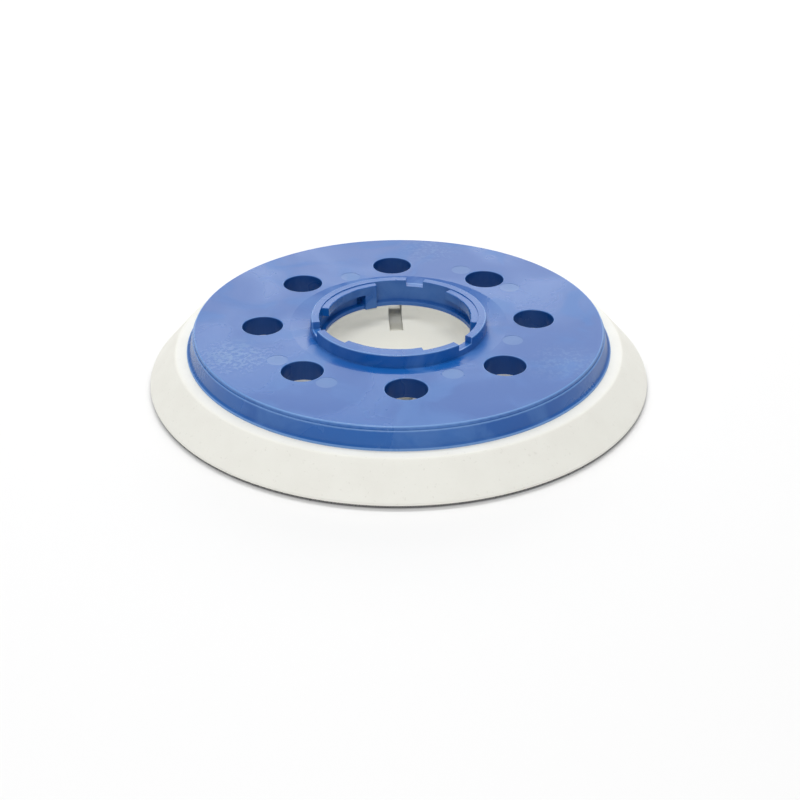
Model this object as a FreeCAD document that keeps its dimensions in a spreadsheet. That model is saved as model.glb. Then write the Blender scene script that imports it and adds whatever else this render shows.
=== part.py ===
"""Backing pad of a random orbital sander.

A moulded plate with a bayonet collar, a foam cushion cast under the plate, and a hook tape
bonded to the foam.

Frame: millimetres, +Z up along the pad's axis. The origin is the centre of the face that
takes the abrasive disc, so the tips of the hooks lie at Z = 0 and the sander's hub enters
the collar from above. Dust ports lie on +X and every 45 degrees from it.
"""
import FreeCAD
import Part
import math
import os

import Sketcher

# Driving dimensions: name, value in millimetres (degrees for a span or an angle), meaning.
SIZES = [
    # hook tape
    ("pile_height", 0.6, "hooks, from their tips to the tape's carrier"),
    ("carrier_thickness", 0.4, "woven carrier of the tape"),
    ("tape_setback", 0.3, "tape's edge inside the foam's edge"),
    # foam cushion
    ("pad_diameter", 150.0, "foam at its lower edge"),
    ("foam_thickness", 9.9, "foam from the tape to the foot of the plate"),
    ("foam_edge_height", 0.8, "upright edge of the foam above the tape"),
    ("land_width", 3.5, "foam round the plate's foot, before its rounding"),
    ("land_rounding", 1.2, "rounding from that land into the foam's cone"),
    ("foam_port_inset", 0.5, "ledge of foam round a dust port: the foam's port is narrower"),
    # well in the middle of the foam
    ("lip_inset", 0.4, "foam's lip inside the ledge's bore, the mouth of the well"),
    ("lip_width", 2.6, "rebate in the hub tube, outside the ledge's bore, that takes the lip"),
    ("lip_height", 0.9, "foam's lip, above the foot of the plate"),
    ("well_taper", 0.5, "how much narrower the well is at its floor, on each side"),
    ("well_depth", 2.6, "floor of the well below the foot of the plate"),
    ("well_rounding", 2.2, "rounding between the well's wall and floor"),
    # air channels from the well to the dust ports
    ("channel_count", 2, "air channels, opposite each other"),
    ("channel_width", 4.2, "width of a channel"),
    ("channel_depth", 5.4, "floor of a channel below the foot of the plate"),
    ("channel_run", 10.2, "length of a channel's trench in the well's floor"),
    # plate
    ("plate_height", 6.2, "plate from its foot to its top face"),
    ("foot_diameter", 127.0, "foot of the plate's skirt, over its flange"),
    ("skirt_draft", 2.3, "how much narrower the top face is, on each side"),
    ("flange_width", 0.9, "sloping flange round the skirt's foot"),
    ("flange_edge", 0.4, "upright edge of that flange"),
    ("flange_height", 1.0, "top of the flange's slope above the foot"),
    ("rim_step_drop", 1.1, "step below the plate's top edge"),
    ("rim_step_width", 0.35, "width of that step"),
    ("rim_rounding", 0.5, "rounding of the plate's top edge"),
    ("step_rounding", 0.25, "rounding of the step's outer edge"),
    ("web_thickness", 3.0, "plate between its ribs"),
    ("skirt_thickness", 2.3, "skirt above its flange"),
    ("dish_width", 6.0, "shallow dish round the collar"),
    ("dish_depth", 1.1, "depth of the dish at the collar"),
    ("rib_count", 8, "radial ribs under the plate, between the ports"),
    ("rib_thickness", 2.0, "thickness of a rib"),
    # dust ports
    ("port_count", 8, "dust ports"),
    ("port_circle_diameter", 81.4, "circle through the ports' centres"),
    ("port_diameter", 12.0, "dust port in the plate"),
    ("port_wall", 2.0, "wall of the tube round a port"),
    ("port_rounding", 0.4, "rounding of a port's top edge"),
    # bayonet collar
    ("collar_height", 2.6, "collar above the plate's top face"),
    ("collar_bore", 47.6, "inside of the collar's wall"),
    ("collar_wall", 2.4, "thickness of the collar's wall at its top"),
    ("collar_draft", 0.3, "how much wider the collar's foot is, on each side"),
    ("hub_wall", 4.0, "wall of the hub tube under the plate"),
    ("ledge_reach", 1.4, "ledge at the collar's foot, inwards from the bore"),
    ("ledge_depth", 6.7, "top of the ledge below the collar's top"),
    ("ledge_thickness", 1.2, "thickness of the ledge"),
    ("lug_count", 3, "bayonet lugs, each with its stop, pocket and notch"),
    ("lug_reach", 2.3, "lugs, inwards from the bore"),
    ("lug_start", -15.0, "angle where the first stop starts, and its lug with it"),
    ("lug_span", 60.0, "arc of a stop and its lug together"),
    ("lug_drop", 0.25, "lug's top below the collar's top"),
    ("lug_thickness", 2.6, "thickness of a lug"),
    ("stop_span", 10.4, "arc of the stop that closes a lug's slot"),
    ("stop_reach", 2.2, "stops, inwards from the bore"),
    ("pocket_span", 4.7, "arc of the detent pocket beside the stop"),
    ("pocket_depth", 1.3, "depth of that pocket in the collar's wall"),
    ("notch_angle", 75.0, "angle of the first notch, between two lugs"),
    ("notch_span", 13.0, "arc of a notch in the collar's top"),
    ("notch_depth", 2.0, "depth of a notch"),
    ("collar_rounding", 0.4, "rounding of the collar's outer top edge"),
    ("bore_rounding", 0.15, "rounding of its inner top edge, less than the lug's drop"),
    ("lug_rounding", 0.3, "rounding of the lugs' and stops' top edges"),
    ("stop_rounding", 0.4, "rounding of a stop's upright edge"),
    ("ledge_rounding", 0.2, "rounding of the ledge's inner top edge"),
    # ejector marks in the plate's top face
    ("mark_diameter", 6.0, "ejector mark"),
    ("mark_depth", 0.05, "depth of a mark"),
    ("inner_mark_circle", 71.0, "circle of the marks between two ports"),
    ("outer_mark_circle", 84.2, "circle of the marks beside a port"),
    ("mark_gap", 0.9, "gap between such a mark and its port"),
]

doc = FreeCAD.newDocument("SanderPad")
sheet = doc.addObject("Spreadsheet::Sheet", "Sizes")
for row, (alias, value, meaning) in enumerate(SIZES, start=1):
    sheet.set(f"A{row}", str(value))
    sheet.setAlias(f"A{row}", alias)
    sheet.set(f"B{row}", meaning)
doc.recompute()

# Levels and radii that follow from the sizes, as formulas over the sheet's cells.
FOAM_BOTTOM = "(Sizes.pile_height + Sizes.carrier_thickness)"
FOAM_EDGE_TOP = f"({FOAM_BOTTOM} + Sizes.foam_edge_height)"
PLATE_FOOT = f"({FOAM_BOTTOM} + Sizes.foam_thickness)"
PLATE_TOP = f"({PLATE_FOOT} + Sizes.plate_height)"
WEB_BOTTOM = f"({PLATE_TOP} - Sizes.web_thickness)"
WEB_MIDDLE = f"({PLATE_TOP} - Sizes.web_thickness / 2)"
STEP_LEVEL = f"({PLATE_TOP} - Sizes.rim_step_drop)"
DISH_BOTTOM = f"({PLATE_TOP} - Sizes.dish_depth)"
COLLAR_TOP = f"({PLATE_TOP} + Sizes.collar_height)"
LEDGE_TOP = f"({COLLAR_TOP} - Sizes.ledge_depth)"
LEDGE_BOTTOM = f"({LEDGE_TOP} - Sizes.ledge_thickness)"
LUG_TOP = f"({COLLAR_TOP} - Sizes.lug_drop)"
LUG_BOTTOM = f"({LUG_TOP} - Sizes.lug_thickness)"
LIP_TOP = f"({PLATE_FOOT} + Sizes.lip_height)"
WELL_FLOOR = f"({PLATE_FOOT} - Sizes.well_depth)"

FOOT_RADIUS = "(Sizes.foot_diameter / 2)"
TOP_RADIUS = f"({FOOT_RADIUS} - Sizes.skirt_draft)"
STEP_RADIUS = f"({TOP_RADIUS} + Sizes.rim_step_width)"
SKIRT_RADIUS = f"({FOOT_RADIUS} - Sizes.flange_width)"
SKIRT_INSIDE = f"({SKIRT_RADIUS} - Sizes.skirt_thickness)"
SKIRT_MIDDLE = f"({SKIRT_RADIUS} - Sizes.skirt_thickness / 2)"
LAND_RADIUS = f"({FOOT_RADIUS} + Sizes.land_width)"
BORE_RADIUS = "(Sizes.collar_bore / 2)"
COLLAR_RADIUS = f"({BORE_RADIUS} + Sizes.collar_wall)"
COLLAR_FOOT_RADIUS = f"({COLLAR_RADIUS} + Sizes.collar_draft)"
WALL_MIDDLE = f"({BORE_RADIUS} + Sizes.collar_wall / 2)"
LEDGE_RADIUS = f"({BORE_RADIUS} - Sizes.ledge_reach)"
LUG_RADIUS = f"({BORE_RADIUS} - Sizes.lug_reach)"
STOP_RADIUS = f"({BORE_RADIUS} - Sizes.stop_reach)"
HUB_RADIUS = f"({BORE_RADIUS} + Sizes.hub_wall)"
HUB_MIDDLE = f"({BORE_RADIUS} + Sizes.hub_wall / 2)"
LIP_RADIUS = f"({LEDGE_RADIUS} + Sizes.lip_width)"
WELL_MOUTH = f"({LEDGE_RADIUS} - Sizes.lip_inset)"
WELL_FOOT = f"({WELL_MOUTH} - Sizes.well_taper)"
CHANNEL_START = f"({WELL_FOOT} - Sizes.channel_run)"
PAD_RADIUS = "(Sizes.pad_diameter / 2)"
TAPE_RADIUS = f"({PAD_RADIUS} - Sizes.tape_setback)"
PORT_CIRCLE = "(Sizes.port_circle_diameter / 2)"
PORT_RADIUS = "(Sizes.port_diameter / 2)"
PORT_TUBE = f"({PORT_RADIUS} + Sizes.port_wall)"
FOAM_PORT = f"({PORT_RADIUS} - Sizes.foam_port_inset)"
MARK_RADIUS = "(Sizes.mark_diameter / 2)"
MARK_ANGLE = (f"(2 * asin(({PORT_RADIUS} + {MARK_RADIUS} + Sizes.mark_gap)"
              " / Sizes.outer_mark_circle) / 1 deg)")

FULL_TURN = 360.0
CLOSE = 1e-3  # how near an edge's ends have to be to the place that a test names
ORIGIN = (-1, 1)  # a sketch's own origin point, as constraints name it
START, END, CENTRE = 1, 2, 3


def value_of(formula):
    """The formula's value with the sheet's present numbers."""
    return float(sheet.evalExpression(formula))


# ---------------------------------------------------------------- bodies and sketches
def new_body(label):
    """An empty body whose label names its file."""
    body = doc.addObject("PartDesign::Body", label)
    body.Label = label
    return body


def origin_feature(body, role):
    """The plane or axis of the body's own origin that has this role."""
    return next(item for item in body.Origin.OriginFeatures if item.Role == role)


def new_sketch(body, name, plane="XY_Plane", level=None, turn=None):
    """A sketch on a plane of the body, raised to a level and turned about Z."""
    sketch = body.newObject("Sketcher::SketchObject", name)
    sketch.AttachmentSupport = [(origin_feature(body, plane), "")]
    sketch.MapMode = "FlatFace"
    if level:
        sketch.setExpression("AttachmentOffset.Base.z", level)
    if turn:
        sketch.setExpression("AttachmentOffset.Rotation.Angle", turn)
    return sketch


def bind(sketch, kind, point, formula):
    """Ties a point's distance from the sketch's origin along one axis to a formula."""
    index = sketch.addConstraint(Sketcher.Constraint(kind, *ORIGIN, *point, value_of(formula)))
    sketch.setExpression(f"Constraints[{index}]", formula)


def bind_radius(sketch, curve, formula):
    """Ties the radius of a circle or an arc to a formula."""
    index = sketch.addConstraint(Sketcher.Constraint("Radius", curve, value_of(formula)))
    sketch.setExpression(f"Constraints[{index}]", formula)


def draw_outline(sketch, corners):
    """A closed outline of straight lines whose corners are pairs of formulas."""
    points = [FreeCAD.Vector(value_of(x), value_of(y), 0) for x, y in corners]
    lines = [sketch.addGeometry(Part.LineSegment(points[i - 1], points[i]))
             for i in range(len(points))]
    for i, (x, y) in enumerate(corners):
        following = lines[(i + 1) % len(lines)]
        sketch.addConstraint(Sketcher.Constraint("Coincident", lines[i], END, following, START))
        bind(sketch, "DistanceX", (lines[i], END), x)
        bind(sketch, "DistanceY", (lines[i], END), y)


def draw_circle(sketch, radius, x="0", y="0"):
    """A circle about a point."""
    place = FreeCAD.Vector(value_of(x), value_of(y), 0)
    circle = sketch.addGeometry(
        Part.Circle(place, FreeCAD.Vector(0, 0, 1), value_of(radius)))
    bind(sketch, "DistanceX", (circle, CENTRE), x)
    bind(sketch, "DistanceY", (circle, CENTRE), y)
    bind_radius(sketch, circle, radius)


def draw_sector(sketch, inner, outer, span):
    """A piece of a ring, its arc centred on the sketch's X axis."""
    rims = []
    for radius in (inner, outer):
        reach = value_of(radius)
        rise = value_of(f"{radius} * sin({span} / 2)")
        run = value_of(f"{radius} * cos({span} / 2)")
        rim = sketch.addGeometry(Part.Arc(
            FreeCAD.Vector(run, -rise, 0), FreeCAD.Vector(reach, 0, 0),
            FreeCAD.Vector(run, rise, 0)))
        sketch.addConstraint(Sketcher.Constraint("Coincident", rim, CENTRE, *ORIGIN))
        bind_radius(sketch, rim, radius)
        bind(sketch, "DistanceY", (rim, START), f"-({radius}) * sin({span} / 2)")
        bind(sketch, "DistanceY", (rim, END), f"({radius}) * sin({span} / 2)")
        rims.append((rim, run, rise))
    (inner_rim, inner_run, inner_rise), (outer_rim, outer_run, outer_rise) = rims
    for side, sign in ((START, -1), (END, 1)):
        line = sketch.addGeometry(Part.LineSegment(
            FreeCAD.Vector(inner_run, sign * inner_rise, 0),
            FreeCAD.Vector(outer_run, sign * outer_rise, 0)))
        sketch.addConstraint(Sketcher.Constraint("Coincident", line, START, inner_rim, side))
        sketch.addConstraint(Sketcher.Constraint("Coincident", line, END, outer_rim, side))


# ---------------------------------------------------------------- features
def require_change(body, feature, volume_before, grows):
    """Stops when a feature has not added or taken material, as its kind should."""
    change = feature.Shape.Volume - volume_before
    if (change > 0) != grows or abs(change) < 1e-6:
        raise RuntimeError(f"{body.Label}: {feature.Name} changed the volume by {change:.6f}")


def revolve(body, name, corners):
    """A solid of revolution about Z from an outline of radius and height."""
    sketch = new_sketch(body, name + "_outline", plane="XZ_Plane")
    draw_outline(sketch, corners)
    solid = body.newObject("PartDesign::Revolution", name)
    solid.Profile = sketch
    solid.ReferenceAxis = (origin_feature(body, "Z_Axis"), [""])
    solid.Angle = FULL_TURN
    sketch.Visibility = False
    doc.recompute()
    return solid


def pad(body, sketch, name, length):
    """Material from a sketch upwards."""
    solid = body.newObject("PartDesign::Pad", name)
    solid.Profile = sketch
    solid.setExpression("Length", length)
    before = body.BaseFeature.Shape.Volume if body.BaseFeature else 0.0
    doc.recompute()
    require_change(body, solid, before, grows=True)
    return solid


def pocket(body, sketch, name, depth):
    """A cut from a sketch downwards."""
    before = body.Shape.Volume
    cut = body.newObject("PartDesign::Pocket", name)
    cut.Profile = sketch
    cut.setExpression("Length", depth)
    doc.recompute()
    require_change(body, cut, before, grows=False)
    return cut


def repeat(body, name, features, count, grows):
    """The features repeated evenly about Z."""
    before = body.Shape.Volume
    pattern = body.newObject("PartDesign::PolarPattern", name)
    pattern.Originals = features
    pattern.Axis = (origin_feature(body, "Z_Axis"), [""])
    pattern.Angle = FULL_TURN
    pattern.setExpression("Occurrences", count)
    body.Tip = pattern
    doc.recompute()
    require_change(body, pattern, before, grows=grows)
    return pattern


def round_edges(body, name, radius, wanted):
    """A fillet on each edge of the body's present shape that the test picks."""
    base = body.Tip
    names = [f"Edge{i}" for i, edge in enumerate(base.Shape.Edges, start=1) if wanted(edge)]
    fillet = body.newObject("PartDesign::Fillet", name)
    fillet.Base = (base, names)
    fillet.setExpression("Radius", radius)
    body.Tip = fillet
    doc.recompute()
    return fillet


def at_radius(edge, radius):
    """Whether an edge's ends are this far from the axis."""
    return all(abs(math.hypot(v.Point.x, v.Point.y) - radius) < CLOSE for v in edge.Vertexes)


def lies_at(edge, level):
    """Whether an edge lies flat at a height."""
    box = edge.BoundBox
    return abs(box.ZMin - level) < CLOSE and abs(box.ZMax - level) < CLOSE


def stands_at(edge, low, high, radius):
    """Whether an edge runs upright between two heights at a radius from the axis."""
    box = edge.BoundBox
    return (abs(box.ZMin - low) < CLOSE and abs(box.ZMax - high) < CLOSE
            and at_radius(edge, radius))


def is_port_rim(edge, level):
    """Whether an edge is the circle of a dust port at a height."""
    return (lies_at(edge, level) and isinstance(edge.Curve, Part.Circle)
            and abs(edge.Curve.Radius - value_of(PORT_RADIUS)) < CLOSE)


# ---------------------------------------------------------------- moulded plate
def add_ports_and_ribs(body):
    """Tubes round the dust ports, ribs between them, and the ports themselves."""
    tube_sketch = new_sketch(body, "port_tube_outline", level=PLATE_FOOT)
    draw_circle(tube_sketch, PORT_TUBE, x=PORT_CIRCLE)
    tube = pad(body, tube_sketch, "port_tube", f"{WEB_MIDDLE} - {PLATE_FOOT}")
    repeat(body, "port_tubes", [tube], "Sizes.port_count", grows=True)

    rib_sketch = new_sketch(body, "rib_outline", level=PLATE_FOOT, turn="180 / Sizes.rib_count")
    half = "Sizes.rib_thickness / 2"
    draw_outline(rib_sketch, [(HUB_MIDDLE, f"-{half}"), (SKIRT_MIDDLE, f"-{half}"),
                              (SKIRT_MIDDLE, half), (HUB_MIDDLE, half)])
    rib = pad(body, rib_sketch, "rib", f"{WEB_MIDDLE} - {PLATE_FOOT}")
    repeat(body, "ribs", [rib], "Sizes.rib_count", grows=True)

    port_sketch = new_sketch(body, "port_outline", level=PLATE_TOP)
    draw_circle(port_sketch, PORT_RADIUS, x=PORT_CIRCLE)
    port = pocket(body, port_sketch, "port", "Sizes.plate_height")
    repeat(body, "ports", [port], "Sizes.port_count", grows=False)


def add_bayonet(body):
    """Lugs, stops, detent pockets and notches of the collar."""
    lug_span = "(Sizes.lug_span - Sizes.stop_span / 2)"
    lug_middle = f"Sizes.lug_start + Sizes.lug_span - {lug_span} / 2"
    lug_sketch = new_sketch(body, "lug_outline", level=LUG_BOTTOM, turn=lug_middle)
    draw_sector(lug_sketch, LUG_RADIUS, WALL_MIDDLE, lug_span)
    lug = pad(body, lug_sketch, "lug", "Sizes.lug_thickness")
    repeat(body, "lugs", [lug], "Sizes.lug_count", grows=True)

    stop_middle = "Sizes.lug_start + Sizes.stop_span / 2"
    stop_sketch = new_sketch(body, "stop_outline", level=LEDGE_BOTTOM, turn=stop_middle)
    draw_sector(stop_sketch, STOP_RADIUS, WALL_MIDDLE, "Sizes.stop_span")
    stop = pad(body, stop_sketch, "stop", f"{LUG_TOP} - {LEDGE_BOTTOM}")
    repeat(body, "stops", [stop], "Sizes.lug_count", grows=True)

    pocket_middle = "Sizes.lug_start + Sizes.stop_span + Sizes.pocket_span / 2"
    pocket_sketch = new_sketch(body, "pocket_outline", level=LUG_BOTTOM, turn=pocket_middle)
    draw_sector(pocket_sketch, LEDGE_RADIUS, f"({BORE_RADIUS} + Sizes.pocket_depth)",
                "Sizes.pocket_span")
    detent = pocket(body, pocket_sketch, "detent", f"{LUG_BOTTOM} - {LEDGE_TOP}")
    repeat(body, "detents", [detent], "Sizes.lug_count", grows=False)

    notch_sketch = new_sketch(body, "notch_outline", level=COLLAR_TOP, turn="Sizes.notch_angle")
    draw_sector(notch_sketch, LEDGE_RADIUS, HUB_RADIUS, "Sizes.notch_span")
    notch = pocket(body, notch_sketch, "notch", "Sizes.notch_depth")
    repeat(body, "notches", [notch], "Sizes.lug_count", grows=False)


def add_ejector_marks(body):
    """Round marks in the top face: three between ports and two beside each of two ports."""
    sketch = new_sketch(body, "mark_outline", level=PLATE_TOP)
    places = [("Sizes.inner_mark_circle / 2", f"({port_angle} + 180 / Sizes.port_count)")
              for port_angle in (90, -90, -45)]
    for port_angle in (45, -135):
        for side in ("+", "-"):
            places.append(("Sizes.outer_mark_circle / 2",
                           f"({port_angle} {side} {MARK_ANGLE})"))
    for circle, angle in places:
        draw_circle(sketch, MARK_RADIUS,
                    x=f"{circle} * cos({angle})", y=f"{circle} * sin({angle})")
    pocket(body, sketch, "ejector_marks", "Sizes.mark_depth")


def round_plate_edges(body):
    """The moulded roundings of the plate's rim, ports, collar, stops and lugs."""
    top = value_of(PLATE_TOP)
    collar_top = value_of(COLLAR_TOP)
    lug_top = value_of(LUG_TOP)
    ledge_bottom = value_of(LEDGE_BOTTOM)
    bore = value_of(BORE_RADIUS)
    round_edges(body, "rounded_rim", "Sizes.rim_rounding",
                lambda edge: lies_at(edge, top) and at_radius(edge, value_of(TOP_RADIUS)))
    round_edges(body, "rounded_step", "Sizes.step_rounding",
                lambda edge: lies_at(edge, value_of(STEP_LEVEL))
                and at_radius(edge, value_of(STEP_RADIUS)))
    round_edges(body, "rounded_ports", "Sizes.port_rounding",
                lambda edge: is_port_rim(edge, top))
    round_edges(body, "rounded_collar", "Sizes.collar_rounding",
                lambda edge: lies_at(edge, collar_top)
                and at_radius(edge, value_of(COLLAR_RADIUS)))
    round_edges(body, "rounded_bore", "Sizes.bore_rounding",
                lambda edge: lies_at(edge, collar_top) and at_radius(edge, bore))
    round_edges(body, "rounded_stops", "Sizes.stop_rounding",
                lambda edge: stands_at(edge, ledge_bottom, lug_top, value_of(STOP_RADIUS)))
    round_edges(body, "rounded_lugs", "Sizes.lug_rounding",
                lambda edge: lies_at(edge, lug_top) and not at_radius(edge, bore))
    round_edges(body, "rounded_ledge", "Sizes.ledge_rounding",
                lambda edge: lies_at(edge, value_of(LEDGE_TOP))
                and at_radius(edge, value_of(LEDGE_RADIUS)))


def make_backing_plate():
    """The moulded plate: web, skirt, ribs, port tubes and bayonet collar in one piece."""
    body = new_body("backing_plate")
    revolve(body, "plate", [
        (LEDGE_RADIUS, LIP_TOP),
        (LIP_RADIUS, LIP_TOP),
        (LIP_RADIUS, PLATE_FOOT),
        (HUB_RADIUS, PLATE_FOOT),
        (HUB_RADIUS, WEB_BOTTOM),
        (SKIRT_INSIDE, WEB_BOTTOM),
        (SKIRT_INSIDE, PLATE_FOOT),
        (FOOT_RADIUS, PLATE_FOOT),
        (FOOT_RADIUS, f"{PLATE_FOOT} + Sizes.flange_edge"),
        (SKIRT_RADIUS, f"{PLATE_FOOT} + Sizes.flange_height"),
        (STEP_RADIUS, STEP_LEVEL),
        (TOP_RADIUS, STEP_LEVEL),
        (TOP_RADIUS, PLATE_TOP),
        (f"{COLLAR_FOOT_RADIUS} + Sizes.dish_width", PLATE_TOP),
        (COLLAR_FOOT_RADIUS, DISH_BOTTOM),
        (COLLAR_RADIUS, COLLAR_TOP),
        (BORE_RADIUS, COLLAR_TOP),
        (BORE_RADIUS, LEDGE_TOP),
        (LEDGE_RADIUS, LEDGE_TOP),
    ])
    add_ports_and_ribs(body)
    add_bayonet(body)
    add_ejector_marks(body)
    round_plate_edges(body)
    return body


# ---------------------------------------------------------------- foam cushion
def make_foam_blank():
    """The foam before the plate's own space is taken out of it."""
    body = new_body("foam_blank")
    revolve(body, "cushion", [
        ("0", FOAM_BOTTOM),
        (PAD_RADIUS, FOAM_BOTTOM),
        (PAD_RADIUS, FOAM_EDGE_TOP),
        (LAND_RADIUS, PLATE_FOOT),
        (SKIRT_MIDDLE, PLATE_FOOT),
        (SKIRT_MIDDLE, WEB_MIDDLE),
        (HUB_MIDDLE, WEB_MIDDLE),
        (HUB_MIDDLE, PLATE_FOOT),
        (LIP_RADIUS, PLATE_FOOT),
        (LIP_RADIUS, LIP_TOP),
        (WELL_MOUTH, LIP_TOP),
        (WELL_FOOT, WELL_FLOOR),
        ("0", WELL_FLOOR),
    ])
    foot = value_of(PLATE_FOOT)
    floor = value_of(WELL_FLOOR)
    round_edges(body, "rounded_land", "Sizes.land_rounding",
                lambda edge: lies_at(edge, foot) and at_radius(edge, value_of(LAND_RADIUS)))
    round_edges(body, "rounded_well", "Sizes.well_rounding",
                lambda edge: lies_at(edge, floor) and at_radius(edge, value_of(WELL_FOOT)))

    channel_sketch = new_sketch(body, "channel_outline", level=LIP_TOP)
    half = "Sizes.channel_width / 2"
    draw_outline(channel_sketch, [(f"-{half}", CHANNEL_START), (half, CHANNEL_START),
                                  (half, PORT_CIRCLE), (f"-{half}", PORT_CIRCLE)])
    channel = pocket(body, channel_sketch, "channel",
                     "Sizes.channel_depth + Sizes.lip_height")
    repeat(body, "channels", [channel], "Sizes.channel_count", grows=False)

    port_sketch = new_sketch(body, "port_outline", level=PLATE_FOOT)
    draw_circle(port_sketch, FOAM_PORT, x=PORT_CIRCLE)
    port = pocket(body, port_sketch, "port", "Sizes.foam_thickness")
    repeat(body, "ports", [port], "Sizes.port_count", grows=False)

    tube_sketch = new_sketch(body, "tube_space_outline", level=WEB_MIDDLE)
    draw_circle(tube_sketch, PORT_TUBE, x=PORT_CIRCLE)
    tube_space = pocket(body, tube_sketch, "tube_space", f"{WEB_MIDDLE} - {PLATE_FOOT}")
    repeat(body, "tube_spaces", [tube_space], "Sizes.port_count", grows=False)
    return body


def make_foam_pad(plate):
    """The foam cast round the plate's skirt, ribs, port tubes and hub."""
    foam = doc.addObject("Part::Cut", "foam_pad")
    foam.Label = "foam_pad"
    foam.Base = make_foam_blank()
    foam.Tool = plate
    doc.recompute()
    return foam


# ---------------------------------------------------------------- hook tape
def make_tape_layer(label, level, thickness):
    """One layer of the hook tape: a disc with the dust ports through it."""
    body = new_body(label)
    disc_sketch = new_sketch(body, "disc_outline", level=level)
    draw_circle(disc_sketch, TAPE_RADIUS)
    pad(body, disc_sketch, "disc", thickness)
    port_sketch = new_sketch(body, "port_outline", level=f"{level} + {thickness}")
    draw_circle(port_sketch, FOAM_PORT, x=PORT_CIRCLE)
    port = pocket(body, port_sketch, "port", thickness)
    repeat(body, "ports", [port], "Sizes.port_count", grows=False)
    return body


# ---------------------------------------------------------------- assembly and export
plate = make_backing_plate()
nodes = [
    plate,
    make_foam_pad(plate),
    make_tape_layer("hook_carrier", "Sizes.pile_height", "Sizes.carrier_thickness"),
    make_tape_layer("hook_pile", "0", "Sizes.pile_height"),
]

for item in doc.Objects:
    if "Invalid" in item.State or "Error" in item.State:
        raise RuntimeError(f"{item.Label} failed: {item.State}")
for node in nodes:
    shape = node.Shape
    if shape.isNull() or not shape.isValid() or len(shape.Solids) != 1:
        raise RuntimeError(f"{node.Label} is not one valid solid")

os.makedirs("parts", exist_ok=True)
for node in nodes:
    node.Shape.exportStep(f"parts/{node.Label}.step")
    box = node.Shape.BoundBox
    print(f"{node.Label:14s} volume {node.Shape.Volume:10.1f}  "
          f"x {box.XMin:7.2f}..{box.XMax:6.2f}  z {box.ZMin:6.2f}..{box.ZMax:6.2f}")
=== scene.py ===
"""Looks of a random orbital sander's backing pad.

The moulded plate and the tape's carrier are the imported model's own nodes, dressed with
procedural materials. The foam cushion and the hooks are built here, around that model.
Every length is in metres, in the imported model's frame.
"""

import logging
import math
from dataclasses import dataclass, field
from enum import Enum

import bpy
import numpy as np
from mathutils import Matrix, Vector


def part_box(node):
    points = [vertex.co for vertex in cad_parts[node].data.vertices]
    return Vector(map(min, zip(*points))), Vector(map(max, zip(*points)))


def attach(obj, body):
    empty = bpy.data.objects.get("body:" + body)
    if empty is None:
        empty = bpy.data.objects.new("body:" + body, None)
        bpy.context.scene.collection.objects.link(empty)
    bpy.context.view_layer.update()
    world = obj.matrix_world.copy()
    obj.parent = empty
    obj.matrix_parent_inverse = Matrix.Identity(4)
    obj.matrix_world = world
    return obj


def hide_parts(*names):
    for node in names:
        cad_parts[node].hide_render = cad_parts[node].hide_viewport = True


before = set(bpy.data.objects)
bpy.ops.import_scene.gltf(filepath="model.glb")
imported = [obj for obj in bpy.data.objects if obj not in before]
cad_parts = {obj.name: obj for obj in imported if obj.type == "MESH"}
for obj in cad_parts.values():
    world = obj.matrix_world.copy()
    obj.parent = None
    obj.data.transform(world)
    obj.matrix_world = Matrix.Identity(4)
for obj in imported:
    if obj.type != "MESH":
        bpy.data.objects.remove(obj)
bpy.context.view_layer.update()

log = logging.getLogger("sander_pad")

MM = 0.001
BODY = "root"

Colour = tuple[float, float, float, float]


class Slot(Enum):
    """The record's material slots, by the name of the finish they take."""

    PLATE = "moulded_plate"
    FOAM = "foam"
    WEAVE = "tape_weave"
    HOOKS = "hooks"


# ---------------------------------------------------------------- mesh helpers
def new_piece(name: str, points: np.ndarray, faces: list | np.ndarray) -> bpy.types.Object:
    """Make a mesh object at the origin from whole arrays.

    Args:
        name: The piece's name.
        points: Vertex positions, one row each.
        faces: Vertex numbers of each face.

    Returns:
        The linked object.
    """
    mesh = bpy.data.meshes.new(name)
    mesh.from_pydata(points.tolist(), [], faces if isinstance(faces, list) else faces.tolist())
    mesh.update()
    piece = bpy.data.objects.new(name, mesh)
    bpy.context.scene.collection.objects.link(piece)
    return piece


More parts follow.
